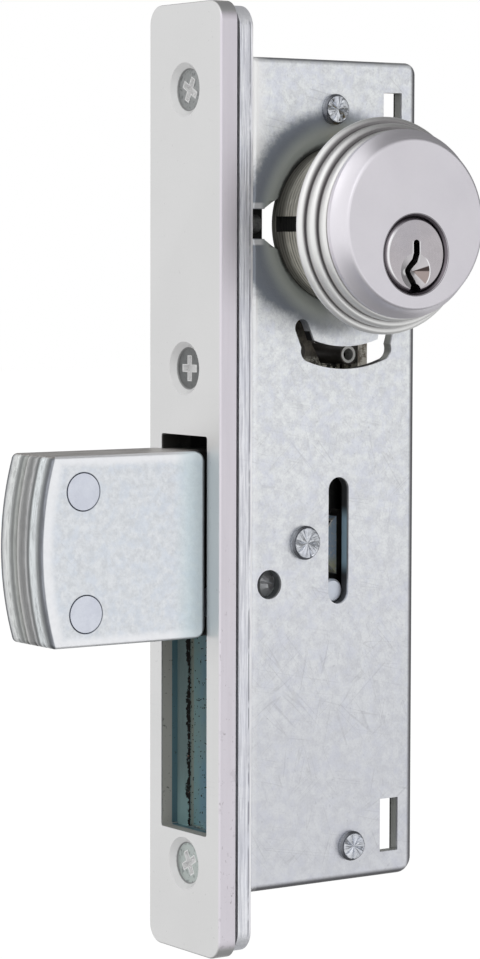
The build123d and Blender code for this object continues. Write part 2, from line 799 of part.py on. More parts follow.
nodes = {
    "faceplate": faceplate(),
    "faceplate_screws": faceplate_screws(),
    "front_plate": front_plate(),
    "near_case_shell": case_shell(flange_edge),
    "far_case_shell": far(case_shell(far_flange_edge)),
    "case_rivets": case_rivets(),
    "lever_guide_studs": guide_studs(),
    "bolt_pivot_pin": bolt_pivot_pin(),
    "pivot_spacers": pivot_spacers(),
    "cylinder_set_screws": set_screws(),
    "cylinder_body": cylinder_body(),
    "cylinder_ring": cylinder_ring(),
    "chamber_cover": cover_block(chamber_top + cover_thickness),
    "driver_pins": standing_pins(plug_top + pin_shear_gap / 2, plug_top + pin_shear_gap / 2 + driver_length),
    "pin_springs": pin_springs(),
    "key_plug": key_plug(),
    "key_pins": standing_pins(plug_top - pin_shear_gap - key_pin_length, plug_top - pin_shear_gap),
    "cylinder_cam": cylinder_cam(),
    "cam_screws": cam_screws(),
    "bolt_near_cheek": cheek,
    "bolt_near_core_ply": core_ply(-core_half, -ply_thickness / 2),
    "bolt_centre_ply": centre_ply(),
    "bolt_far_core_ply": core_ply(ply_thickness / 2, core_half),
    "bolt_far_cheek": far(cheek),
    "bolt_cheek_rivets": cheek_rivets(),
    "bolt_core_rivet": core_rivets(),
    "bolt_pivot_bush": pivot_bush(),
    "lift_lever": lift_lever(),
    "drive_pin": drive_pin(),
}

for name, shape in nodes.items():
    save(shape, name)
print("lever travel", lift_travel, "mm, plug turn", round(cam_swing, 2), "degrees, pieces", len(nodes))
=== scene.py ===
import json
import math

import bpy
from mathutils import Matrix, Vector


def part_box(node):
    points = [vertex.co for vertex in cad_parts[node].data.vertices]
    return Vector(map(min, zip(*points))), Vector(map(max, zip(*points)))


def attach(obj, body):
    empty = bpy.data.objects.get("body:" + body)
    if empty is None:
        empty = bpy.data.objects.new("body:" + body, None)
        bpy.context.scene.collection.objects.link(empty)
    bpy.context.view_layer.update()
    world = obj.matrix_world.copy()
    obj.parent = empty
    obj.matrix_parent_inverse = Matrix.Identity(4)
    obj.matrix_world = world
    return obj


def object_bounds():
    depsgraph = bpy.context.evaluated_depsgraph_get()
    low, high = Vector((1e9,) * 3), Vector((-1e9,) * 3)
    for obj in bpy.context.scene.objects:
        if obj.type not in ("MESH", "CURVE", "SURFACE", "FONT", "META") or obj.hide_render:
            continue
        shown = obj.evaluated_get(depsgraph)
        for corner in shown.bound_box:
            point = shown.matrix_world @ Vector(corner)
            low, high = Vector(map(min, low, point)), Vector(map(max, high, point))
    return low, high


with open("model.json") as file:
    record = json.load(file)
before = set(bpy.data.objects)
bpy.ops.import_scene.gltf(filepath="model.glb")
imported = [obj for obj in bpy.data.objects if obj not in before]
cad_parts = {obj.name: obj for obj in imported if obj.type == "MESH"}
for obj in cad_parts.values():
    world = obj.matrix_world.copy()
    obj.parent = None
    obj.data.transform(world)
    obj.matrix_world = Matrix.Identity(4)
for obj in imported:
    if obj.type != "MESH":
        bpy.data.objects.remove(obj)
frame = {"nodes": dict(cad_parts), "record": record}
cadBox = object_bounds()
nodes = frame["nodes"]
mm = 0.001
print("frame loaded,", len(nodes), "nodes")


def extent(box, axis):  # a box's lowest and highest place along an axis, in millimetres
    return [corner["XYZ".index(axis)] / mm for corner in box]


# sizes of the solids that the finishes follow, in millimetres, first those that the frame tells
plateHalf = extent(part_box("faceplate"), "Y")[1]
caseFront = extent(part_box("front_plate"), "X")[1]
caseBack = extent(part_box("near_case_shell"), "X")[1]
caseSide = extent(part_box("far_case_shell"), "Y")[1]
caseBottom, caseTop = extent(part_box("near_case_shell"), "Z")
caseInside = extent(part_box("pivot_spacers"), "Y")[1]
backset = sum(extent(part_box("cylinder_ring"), "X")) / 2
ringSeat, doorFace = extent(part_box("cylinder_ring"), "Y")
headFace = extent(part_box("cylinder_body"), "Y")[0]
plugFace = extent(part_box("key_plug"), "Y")[0]
boltReach = -extent(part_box("bolt_near_cheek"), "X")[0]
boltHalf = extent(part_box("bolt_far_cheek"), "Y")[1]
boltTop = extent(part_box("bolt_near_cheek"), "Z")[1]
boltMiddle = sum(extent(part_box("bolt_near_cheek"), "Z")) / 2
plyThickness = 2 * boltHalf / 5
boltArc = 58.0  # radius of the bolt's rounded end
boreRadius, dishRadius, barrelRadius = 14.63, 21.0, 14.55
plugDrop = 5.5  # from the cylinder's axis down to the plug's
opening = {"half": 7.5, "low": -112.2, "high": -38.5, "filmed": (-70, -74)}  # the faceplate's window
posts = {"topRivetStar": {"place": (25.62, 21.1), "radius": 2.5, "turn": 0.3},
         "pivotStar": {"place": (19.07, -58.55), "radius": 2.85, "turn": 1.1},
         "bottomRivetStar": {"place": (30.05, -116.1), "radius": 2.5, "turn": 2.0}}
tailRivet = {"place": (15.9, -66.55), "face": -4.45, "radius": 2.9, "turn": 0.6}
faceScrews = ({"height": 24.4, "turn": 28, "colour": (146, 148, 148)},
              {"height": -26.4, "turn": 0, "colour": (98, 99, 99)},
              {"height": -118.1, "turn": 62, "colour": (176, 184, 181)})


class Wire:  # a shader socket that adds and multiplies like a number
    def __init__(self, tree, socket=None):
        self.tree, self.socket = tree, socket

    def node(self, kind, settings=None, values=None, out=0):
        made = self.tree.nodes.new(kind)
        for key, value in (settings or {}).items():
            if key != "stops":
                setattr(made, key, value)
                continue
            for number, (spot, colour) in enumerate(value):
                stops = made.color_ramp.elements
                stop = stops[number] if number < 2 else stops.new(spot)
                stop.position, stop.color = spot, screenColour(*colour)
        for key, value in (values or {}).items():
            if isinstance(value, Wire):
                self.tree.links.new(value.socket, made.inputs[key])
            else:
                made.inputs[key].default_value = value
        return Wire(self.tree, made.outputs[out]) if made.outputs else None

    def maths(self, operation, *others):
        return self.node("ShaderNodeMath", {"operation": operation}, dict(enumerate((self, *others))))

    def __add__(self, other):
        return self.maths("ADD", other)

    def __sub__(self, other):
        return self.maths("SUBTRACT", other)

    def __mul__(self, other):
        return self.maths("MULTIPLY", other)

    def __truediv__(self, other):
        return self.maths("DIVIDE", other)

    def __rsub__(self, other):
        return self * -1 + other

    def __abs__(self):
        return self.maths("ABSOLUTE")

    __radd__ = __add__
    __rmul__ = __mul__

    def most(self, other):
        return self.maths("MAXIMUM", other)

    def length(self, other):  # the long side of a right triangle
        return (self * self + other * other).maths("SQRT")

    def ramp(self, low, high, bottom=0.0, top=1.0):  # a soft step from low to high
        return self.node("ShaderNodeMapRange", {"interpolation_type": "SMOOTHSTEP"}, {
            "Value": self, "From Min": low, "From Max": high, "To Min": bottom, "To Max": top})

    def within(self, low, high, soft):  # 1 between low and high, 0 outside
        return self.ramp(low - soft, low + soft) * self.ramp(high - soft, high + soft, 1, 0)


def newMaterial(name):
    material = bpy.data.materials.new(name)
    material.use_nodes = True
    material.node_tree.nodes.clear()
    return material, Wire(material.node_tree)


def linear(channel):  # from 0 to 255 as seen on screen, to light
    return channel / 255 / 12.92 if channel < 10.3 else ((channel / 255 + 0.055) / 1.055) ** 2.4


def screenColour(*colour):
    return (*map(linear, colour), 1)


def mix(w, share, first, second):
    return w.node("ShaderNodeMix", {"data_type": "RGBA"}, {"Factor": share, 6: first, 7: second}, out=2)


def place(w):  # where a point lies on its piece, in millimetres
    whole = w.node("ShaderNodeTexCoord", out="Object")
    return [w.node("ShaderNodeSeparateXYZ", None, {0: whole}, out=axis) * 1000 for axis in "XYZ"]


def noise(w, size, detail=3, rough=0.55, turn=(0, 0, 0), longer=(1, 1, 1), shift=(0, 0, 0)):  # in millimetres
    whole = w.node("ShaderNodeTexCoord", out="Object")
    turned = w.node("ShaderNodeMapping", {"vector_type": "TEXTURE"}, {
        "Vector": whole, "Location": tuple(v * mm for v in shift), "Rotation": turn, "Scale": longer})
    return w.node("ShaderNodeTexNoise", None, {
        "Vector": turned, "Scale": 1000 / size, "Detail": detail, "Roughness": rough}, out="Fac")


def scratches(w, apart, turn, width, breaks):  # thin lines that run one way and break off
    line = abs(noise(w, apart, 0, 0.4, turn, (1, 20, 20)) - 0.5).ramp(0, width, 1, 0)
    return line * noise(w, breaks, 1, 0.5, turn, shift=(3, 5, 7)).ramp(0.58, 0.63)


def specks(w, size, keep, shift=(0, 0, 0)):  # the higher keep is, the fewer there are
    return noise(w, size, 1, 0.5, shift=shift).ramp(keep, keep + 0.03)


# a look for each slot and one for the tail's rivet: colours as seen on screen, patch and grain in millimetres
looks = {
    "faceplate": {
        "colour": (209, 209, 209), "dark": (203, 203, 203), "tint": (209, 209, 209), "patch": 30,
        "grain": 0.5, "rough": 0.4, "bump": 0.004, "wear": 0.1, "scratch": 0.06, "metal": 1.0},
    "front_plate": {
        "colour": (250, 251, 255), "dark": (226, 228, 236), "tint": (232, 234, 244), "patch": 5,
        "grain": 0.6, "rough": 0.36, "bump": 0.02, "wear": 0.35, "scratch": 0.1, "metal": 0.8},
    "case": {
        "colour": (251, 254, 255), "dark": (208, 210, 217), "tint": (228, 232, 246), "patch": 1.5,
        "grain": 0.45, "rough": 0.34, "bump": 0.02, "wear": 0.42, "scratch": 0.25, "metal": 0.65},
    "rivets": {
        "colour": (214, 217, 222), "dark": (150, 154, 160), "tint": (206, 210, 222), "patch": 2,
        "grain": 0.5, "rough": 0.24, "bump": 0.03, "wear": 0.4, "scratch": 0.1, "metal": 1.0},
    "screws": {
        "colour": (128, 130, 130), "dark": (104, 106, 106), "tint": (140, 146, 146), "patch": 2.5,
        "grain": 0.4, "rough": 0.34, "bump": 0.02, "wear": 0.6, "scratch": 0.2, "metal": 1.0},
    "inner_steel": {
        "colour": (140, 142, 144), "dark": (90, 92, 94), "tint": (150, 150, 156), "patch": 3,
        "grain": 0.6, "rough": 0.35, "bump": 0.02, "wear": 0.5, "scratch": 0.2, "metal": 1.0},
    "set_screws": {
        "colour": (110, 111, 110), "dark": (60, 60, 60), "tint": (112, 112, 116), "patch": 1.5,
        "grain": 0.4, "rough": 0.4, "bump": 0.02, "wear": 0.5, "scratch": 0.2, "metal": 0.3},
    "cylinder": {
        "colour": (225, 222, 228), "dark": (219, 216, 221), "tint": (218, 215, 222), "patch": 12,
        "grain": 0.4, "rough": 0.36, "bump": 0.003, "wear": 0.12, "scratch": 0.02, "metal": 1.0},
    "ring": {
        "colour": (230, 230, 229), "dark": (222, 222, 221), "tint": (228, 228, 228), "patch": 12,
        "grain": 0.4, "rough": 0.36, "bump": 0.003, "wear": 0.12, "scratch": 0.02, "metal": 1.0},
    "pin_brass": {
        "colour": (196, 166, 98), "dark": (150, 120, 62), "tint": (196, 170, 110), "patch": 3,
        "grain": 0.5, "rough": 0.3, "bump": 0.01, "wear": 0.3, "scratch": 0.1, "metal": 1.0},
    "spring_steel": {
        "colour": (150, 150, 150), "dark": (110, 110, 110), "tint": (150, 150, 156), "patch": 3,
        "grain": 0.5, "rough": 0.3, "bump": 0.01, "wear": 0.3, "scratch": 0.1, "metal": 1.0},
    "plug": {
        "colour": (190, 185, 189), "dark": (174, 169, 172), "tint": (176, 173, 180), "patch": 4,
        "grain": 0.4, "rough": 0.24, "bump": 0.002, "wear": 0.25, "scratch": 0.06, "metal": 1.0},
    "cam": {
        "colour": (146, 134, 108), "dark": (92, 84, 68), "tint": (150, 140, 120), "patch": 3,
        "grain": 0.6, "rough": 0.34, "bump": 0.02, "wear": 0.5, "scratch": 0.2, "metal": 0.8},
    "bolt": {
        "colour": (232, 235, 239), "dark": (204, 208, 213), "tint": (216, 224, 236), "patch": 1.4,
        "grain": 0.45, "rough": 0.32, "bump": 0.016, "wear": 0.45, "scratch": 0.08, "metal": 0.9},
    "bolt_core": {
        "colour": (214, 219, 218), "dark": (180, 184, 186), "tint": (200, 210, 212), "patch": 4,
        "grain": 0.6, "rough": 0.32, "bump": 0.015, "wear": 0.45, "scratch": 0.1, "metal": 0.9},
    "bolt_rivets": {
        "colour": (218, 222, 232), "dark": (204, 208, 220), "tint": (214, 218, 232), "patch": 3,
        "grain": 0.5, "rough": 0.34, "bump": 0.006, "wear": 0.4, "scratch": 0.06, "metal": 1.0},
    "lever": {
        "colour": (120, 114, 102), "dark": (62, 58, 52), "tint": (116, 112, 106), "patch": 2.5,
        "grain": 0.6, "rough": 0.38, "bump": 0.02, "wear": 0.6, "scratch": 0.2, "metal": 0.3},
    # near white: a painted highlight standing in for the glint on the peened end
    "tail_rivet": {
        "colour": (252, 253, 255), "dark": (226, 228, 232), "tint": (244, 246, 250), "patch": 1,
        "grain": 0.4, "rough": 0.42, "bump": 0.02, "wear": 0.4, "scratch": 0.1, "metal": 0.4},
    "drive_pin": {
        "colour": (214, 219, 228), "dark": (200, 206, 216), "tint": (208, 214, 228), "patch": 2,
        "grain": 0.4, "rough": 0.32, "bump": 0.01, "wear": 0.4, "scratch": 0.1, "metal": 0.7},
}


def metal(name, look, paint=None):
    material, w = newMaterial(name)
    patches = noise(w, look["patch"], 4, 0.62).ramp(0.34, 0.66)
    tints = noise(w, look["patch"] * 1.7, 3, 0.6, shift=(11, 13, 17)).ramp(0.42, 0.70)
    grain = noise(w, look["grain"], 2, 0.6)
    marks = scratches(w, 3.1, (0, 0.9, 0), 0.006, 9)
    marks = marks.most(scratches(w, 3.7, (0, -0.75, 0), 0.005, 8))
    marks = marks.most(scratches(w, 4.3, (0, 1.75, 0), 0.005, 10))
    worn = patches * look["wear"] + grain.ramp(0.3, 0.7) * look["wear"] * 0.6
    colour = mix(w, worn, screenColour(*look["colour"]), screenColour(*look["dark"]))
    colour = mix(w, tints * 0.5, colour, screenColour(*look["tint"]))
    colour = mix(w, marks * look["scratch"], colour, screenColour(150, 151, 155))
    rough = look["rough"] + patches * 0.05 + (grain - 0.5) * 0.10
    height = grain + patches * 0.6 - marks * look["scratch"] * 2
    made = {"colour": colour, "rough": rough, "height": height, "metal": look["metal"]}
    if paint:
        paint(w, made)
    bumped = w.node("ShaderNodeBump", None, {
        "Strength": 1.0, "Distance": look["bump"] * mm, "Height": made["height"]}, out="Normal")
    shader = w.node("ShaderNodeBsdfPrincipled", None, {
        "Base Color": made["colour"], "Metallic": made["metal"],
        "Roughness": made["rough"], "Normal": bumped})
    w.node("ShaderNodeOutputMaterial", None, {"Surface": shader})
    return material


def tintBy(w, made, share, colour, rough=None, metal=None):  # lays a colour over what is there
    colour = screenColour(*colour) if isinstance(colour, tuple) else colour
    made["colour"] = mix(w, share, made["colour"], colour)
    for key, value in (("rough", rough), ("metal", metal)):
        if value is not None:
            made[key] = made[key] * (1 - share) + share * value


# the faceplate: a paler edge, scuffed low down, a darker teal tone deep in the window's walls and painted
# shadow on their upper part, painted light on each countersink and painted shade in the crevice round each
# screw head
faceplateMarks = {
    "edge": (222, 217, 225), "streak": (206, 201, 208), "scuff": (150, 144, 148), "smear": (170, 165, 170),
    "wall": (176, 176, 170), "film": (86, 118, 128), "speck": (60, 62, 60), "shadow": (44, 43, 40),
    "sink": (238, 238, 238), "crevice": (90, 91, 92), "nick": (150, 150, 150),
    "scuffed": (-50, -72), "smeared": (-70, -118), "filmFrom": (2.25, 2.45), "shadowed": (-56, -50),
    "sinkRadius": 4.9, "headRadius": 3.7}


def paintFaceplate(w, made):
    marks = faceplateMarks
    x, y, z = place(w)
    side = (y * -1).ramp(plateHalf - 0.45, plateHalf - 0.05)
    streaks = noise(w, 1.2, 3, 0.6, longer=(1, 1, 30)).ramp(0.35, 0.65)
    tintBy(w, made, side * 0.9, marks["edge"])
    tintBy(w, made, side * streaks * 0.25, marks["streak"])
    scuffs = noise(w, 0.55, 2, 0.6, longer=(1, 1, 2.2), shift=(2, 9, 4)).ramp(0.66, 0.74)
    tintBy(w, made, side * scuffs * z.ramp(*marks["scuffed"]) * 0.5, marks["scuff"])
    smears = noise(w, 2.6, 3, 0.7, shift=(5, 1, 2)).ramp(0.60, 0.66)
    tintBy(w, made, side * smears * z.ramp(*marks["smeared"]) * 0.35, marks["smear"])

    behind = x.ramp(0.05, 0.4) * z.within(opening["low"], opening["high"], 0.05)
    wall = abs(y).ramp(opening["half"] - 0.15, opening["half"], 1, 0)
    wall = wall.most(abs(y - opening["half"]).ramp(0.02, 0.06, 1, 0)) * behind
    tintBy(w, made, wall, marks["wall"], 0.5, 0.0)
    # a darker teal tone deeper in the window's walls
    tintBy(w, made, wall * x.ramp(*marks["filmFrom"]), marks["film"], 0.4, 0.0)
    tintBy(w, made, wall * specks(w, 0.55, 0.70, (4, 4, 2)) * 0.6, marks["speck"])
    # painted shadow on the upper part of the window's walls
    tintBy(w, made, wall * z.ramp(*marks["shadowed"]), marks["shadow"], 0.6, 0.0)
    rim = marks["headRadius"]
    for screw in faceScrews:
        reach = y.length(z - screw["height"])
        sink = reach.ramp(marks["sinkRadius"] + 0.05, marks["sinkRadius"] - 0.05) * x.ramp(0.01, 0.05)
        # painted light: the countersink is painted pale so that it looks no darker than the face
        tintBy(w, made, sink, marks["sink"], 0.4, 0.1)
        # painted shade in the crevice round the screw's head
        tintBy(w, made, sink * reach.ramp(rim + 0.28, rim + 0.1) * 0.8, marks["crevice"])
    tintBy(w, made, specks(w, 0.9, 0.76, (4, 1, 8)) * (1 - side) * 0.18, marks["nick"])


# the front plate: burrs, a dark line and a painted highlight on its sheared edge, painted shade where the
# window shows it, with film and rusty crumbs lower down
frontPlateMarks = {
    "burr": (188, 189, 199), "line": (120, 120, 130), "rim": (246, 246, 248), "inside": (60, 60, 58),
    "film": (150, 172, 172), "crumb": (24, 19, 17), "rust": (150, 108, 96), "lowFilm": (196, 240, 240),
    "seam": (6.5, 6.65), "thicker": (-80, -73), "lowFrom": (-100, -112)}


def paintFrontPlate(w, made):
    marks = frontPlateMarks
    x, y, z = place(w)
    burr = noise(w, 0.45, 3, 0.7, longer=(1, 1, 26)).ramp(0.35, 0.65)
    side = (y * -1).ramp(plateHalf - 0.35, plateHalf - 0.05)
    tintBy(w, made, side * burr * 0.65, marks["burr"])
    broken = noise(w, 1.5, 2, 0.6, longer=(1, 1, 4)).ramp(0.4, 0.5)
    tintBy(w, made, side * x.within(caseFront - 0.75, caseFront - 0.5, 0.06) * broken * 0.7, marks["line"])
    # painted highlight along the side's rear edge
    tintBy(w, made, side * x.within(caseFront - 0.3, caseFront + 0.2, 0.1) * 0.8, marks["rim"])
    made["height"] = made["height"] + burr * 1.5

    inside = abs(y).ramp(opening["half"] + 1.0, opening["half"] + 1.2, 1, 0)
    inside = inside * z.within(opening["low"] - 0.8, opening["high"] + 0.8, 0.1)
    below = inside * z.ramp(*opening["filmed"])
    # painted shade on the plate where the window shows it
    tintBy(w, made, inside, marks["inside"], 0.5, 0.2)
    tintBy(w, made, below, marks["film"], 0.5, 0.0)
    wander = (noise(w, 0.9, 4, 0.75, shift=(2, 8, 1)) - 0.5) * 1.7
    thick = noise(w, 7, 2, 0.6, shift=(1, 5, 2)).ramp(0.42, 0.6) * 0.4 + z.ramp(*marks["thicker"]) * 0.9
    crumbs = (x + wander + thick).ramp(*marks["seam"]) * noise(w, 0.5, 2, 0.7).ramp(0.30, 0.40)
    tintBy(w, made, below * crumbs, marks["crumb"], 0.8, 0.0)
    tintBy(w, made, below * crumbs * specks(w, 0.7, 0.70, (6, 2, 5)), marks["rust"], 0.8, 0.0)
    tintBy(w, made, below * (1 - crumbs) * z.ramp(*marks["lowFrom"]) * 0.6, marks["lowFilm"], 0.5, 0.0)


# both case shells: worn zinc on the outside, with hairline scratches, painted shade on the bends and a
# painted highlight near the front
caseMarks = {
    "low": (196, 197, 205), "speck": (150, 152, 158), "hair": (146, 146, 152), "edge": (98, 97, 101),
    "bright": (255, 255, 255), "lowFrom": (-10, -120), "brightFrom": (3, 9),
    "hairHeight": (10, -70), "hairShares": (0.07, 0.19), "bendHeight": (-40, 0), "bendShares": (0.2, 0.9),
    "hairs": ((0.9, 0), (-0.75, 4), (1.75, 9), (0.2, 15), (-0.35, 21))}  # the turn of each set and its shift


def paintCase(w, made):
    x, y, z = place(w)
    across, radius = x - backset, (x - backset).length(z)
    flatSide = abs(y).ramp(caseSide - 2.6, caseSide - 2.4)
    boxed = x.within(caseFront + 0.1, caseBack - 0.12, 0.05)
    boxed = boxed * z.within(caseBottom + 0.12, caseTop - 0.12, 0.05)
    inner = boxed * abs(y).ramp(caseInside + 0.02, caseInside + 0.1, 1, 0)
    paintWear(w, made, x, y, z, flatSide)
    paintDish(w, made, z, across, radius, flatSide)
    paintSlots(w, made, x, y, z, radius, flatSide, boxed)
    # painted shade over the inside of the shells
    tintBy(w, made, inner, insideMarks["steel"], 0.5, 0.3)
    paintInside(w, made, x, y, z, inner)


def paintWear(w, made, x, y, z, flatSide):
    marks = caseMarks
    tintBy(w, made, z.ramp(*marks["lowFrom"]) * 0.55, marks["low"])
    tintBy(w, made, specks(w, 0.8, 0.70, (8, 8, 1)) * 0.18, marks["speck"])
    for turn, more in marks["hairs"]:  # more of them low down
        hairs = noise(w, 1.7, 0, 0.4, (0, turn, 0), (1, 30, 30), (more, 3, more))
        hairs = abs(hairs - 0.5).ramp(0, 0.016, 1, 0)
        hairs = hairs * noise(w, 10, 1, 0.5, shift=(more, 1, 5)).ramp(0.54, 0.62)
        tintBy(w, made, hairs * z.ramp(*marks["hairHeight"], *marks["hairShares"]), marks["hair"])
    # painted shade on the rear bend and on the top and bottom edges
    edge = x.ramp(caseBack - 1.6, caseBack - 0.9).most(z.ramp(caseBottom + 1.5, caseBottom + 0.5))
    tintBy(w, made, edge.most(z.ramp(caseTop - 0.7, caseTop - 0.1)) * 0.9, marks["edge"])
    # painted highlight on the flat side near the front
    front = x.ramp(caseFront + 4.5, caseFront + 0.8) * z.ramp(*marks["brightFrom"])
    tintBy(w, made, front * flatSide * 0.7, marks["bright"])
    # painted highlight on the front bend
    bend = x.within(caseFront - 0.1, caseFront + 1.5, 0.3) * noise(w, 3, 2, 0.5).ramp(0.25, 0.5, 0.4, 1)
    bend = bend * z.ramp(*marks["bendHeight"], *marks["bendShares"])
    tintBy(w, made, bend * abs(y).ramp(caseSide - 1.2, caseSide - 0.9), marks["bright"], 0.4, 0.4)


# the dish drawn in round the cylinder's hole, with painted shade on the side that lies in the barrel's shade,
# lighter deeper in, and a dark ring of painted shade round the hole's collar
dishMarks = {"shade": (120, 127, 139), "deep": (196, 202, 197), "collar": (36, 36, 34),
             "shadeWay": (-0.966, 0.259), "lower": (-3, -10)}


def paintDish(w, made, z, across, radius, flatSide):
    marks = dishMarks
    blur = (noise(w, 1.4, 4, 0.7) - 0.5) * 2.4
    shaded = (across * marks["shadeWay"][0] + z * marks["shadeWay"][1]) / radius
    wider = shaded.ramp(0.2, 1) * 2.2 + shaded.ramp(0.3, 0.7) * z.ramp(*marks["lower"]) * 1.8
    dish = (radius + blur - wider).ramp(dishRadius - 1.8, dishRadius + 0.9, 1, 0)
    shade = dish * shaded.ramp(-0.45, 0.35)
    deep = radius.ramp(boreRadius + 2.0, dishRadius - 0.5, 1, 0)
    tintBy(w, made, flatSide * shade * 0.92, marks["shade"], 0.36, 0.4)
    tintBy(w, made, flatSide * shade * deep * 0.9, marks["deep"], 0.4, 0.3)
    # painted shade round the hole's collar
    collar = (radius + blur * 0.3).ramp(boreRadius + 0.5, boreRadius + 1.3, 1, 0) * shaded.ramp(0.1, 0.8)
    tintBy(w, made, flatSide * collar * 0.9, marks["collar"], 0.5, 0.2)


# the set screw's bay in painted shade with painted highlights on its lips, and the walls of the slots: darker
# grey, paler at the rear, the curved and upright slots' walls in painted shade, with a painted reflection of
# the bolt on the upright one
slotMarks = {
    "lip": (246, 247, 250), "wall": (96, 100, 104), "curved": (36, 36, 38), "rear": (186, 188, 184),
    "upright": (46, 47, 50), "glow": (160, 190, 208), "bay": (64, 62, 60),
    "lipHeight": 3.3, "lipDepth": (10.5, 9), "bayDepth": (14.2, 15.2), "bayHalf": (4.2, 4.3),
    "curvedHeight": (-35, -15), "rearFrom": 37, "uprightWidth": (28, 31), "glowHeight": (-64, -53.5)}


def paintSlots(w, made, x, y, z, radius, flatSide, boxed):
    marks = slotMarks
    wall = boxed * abs(y).ramp(caseSide - 0.75, caseSide - 0.25, 1, 0)
    wall = wall * radius.ramp(dishRadius + 0.1, dishRadius + 0.3)
    bay = boxed * abs(y).ramp(caseSide - 0.9, caseSide - 0.3, 1, 0)
    bay = bay * x.ramp(*marks["bayDepth"], 1, 0) * abs(z).ramp(*marks["bayHalf"], 1, 0)
    lips = flatSide * abs(abs(z) - marks["lipHeight"]).ramp(0.7, 0.3) * x.ramp(*marks["lipDepth"])
    # painted highlights on the bay's lips
    tintBy(w, made, lips * 0.7, marks["lip"])
    tintBy(w, made, wall * 0.9, marks["wall"], 0.45, 0.4)
    rear = marks["rearFrom"]
    # painted shade on the curved slot's wall
    curved = wall * z.within(*marks["curvedHeight"], 0.3) * x.ramp(rear, rear + 2, 0.95, 0.4)
    tintBy(w, made, curved, marks["curved"], 0.45, 0.2)
    tintBy(w, made, wall * x.ramp(rear, rear + 1) * 0.95, marks["rear"], 0.45, 0.2)
    # painted shade on the upright slot's wall, with a painted reflection of the bolt's lit face
    upright = wall * x.within(*marks["uprightWidth"], 0.5)
    tintBy(w, made, upright * 0.8, marks["upright"], 0.4, 0.2)
    tintBy(w, made, upright * z.within(*marks["glowHeight"], 1.5), marks["glow"], 0.4, 0.0)
    # painted shade in the set screw's bay
    tintBy(w, made, bay * 0.9, marks["bay"], 0.45, 0.4)


# inside the far shell: dirt that shows through the curved slot, film that shows through the window
insideMarks = {
    "steel": (34, 35, 34), "turned": (204, 200, 190), "dirt": (96, 82, 64), "grease": (250, 246, 232),
    "film": (168, 212, 218), "blue": (160, 204, 232), "green": (196, 214, 200), "line": (196, 190, 168),
    "crumb": (24, 19, 17), "speck": (40, 34, 30),
    "turnedHeight": (-34, -16), "greaseWidth": (36, 43), "greaseHeight": (-29, -26.3),
    "filmDepth": (12.5, 14), "blueFrom": (8.6, 10.6), "lineDepth": (7.6, 8.3), "seam": (7.3, 7.6)}


def paintInside(w, made, x, y, z, inner):
    marks = insideMarks
    turned = x.ramp(caseBack - 2.3, caseBack - 2.1) * z.within(*marks["turnedHeight"], 0.5)
    turned = turned * abs(y).ramp(caseInside - 0.1, caseInside, 1, 0)
    dirt = noise(w, 1.3, 3, 0.7, shift=(3, 1, 4)).ramp(0.45, 0.6)
    tintBy(w, made, turned, marks["turned"], 0.5, 0.0)
    tintBy(w, made, turned * dirt * 0.85, marks["dirt"], 0.6, 0.0)
    # a pale mottled patch on the far shell's inside
    grease = inner * x.within(*marks["greaseWidth"], 0.4) * z.within(*marks["greaseHeight"], 0.3)
    tintBy(w, made, grease * dirt, marks["grease"], 0.5, 0.0)

    film = inner * x.ramp(*marks["filmDepth"], 1, 0) * z.ramp(*opening["filmed"])
    cloud = noise(w, 5, 3, 0.6, longer=(1, 1, 3)).ramp(0.3, 0.7)
    tintBy(w, made, film, marks["film"], 0.4, 0.0)
    tintBy(w, made, film * x.ramp(*marks["blueFrom"]) * 0.7, marks["blue"], 0.4, 0.0)
    tintBy(w, made, film * cloud * 0.5, marks["green"], 0.4, 0.0)
    tintBy(w, made, film * x.within(*marks["lineDepth"], 0.1) * 0.6, marks["line"], 0.5, 0.0)
    wander = (noise(w, 0.9, 4, 0.75, shift=(6, 2, 9)) - 0.5) * 1.6
    crumbs = (x + wander).ramp(*marks["seam"], 1, 0)
    tintBy(w, made, film * crumbs, marks["crumb"], 0.8, 0.0)
    tintBy(w, made, film * specks(w, 0.45, 0.67, (9, 2, 3)), marks["speck"], 0.8, 0.0)


# rivets and guide studs: painted shade on their parts inside the case and round each rivet's root, a painted
# highlight ring round a painted dark hole on the stud behind the curved slot
rivetMarks = {"inside": (60, 56, 52), "root": (84, 86, 92), "eye": (252, 252, 248), "pupil": (12, 12, 12),
              "studPlace": (32.99, -24.2), "studFace": (3.4, 3.6), "eyeRadius": 1.6, "pupilRadius": 1.1}


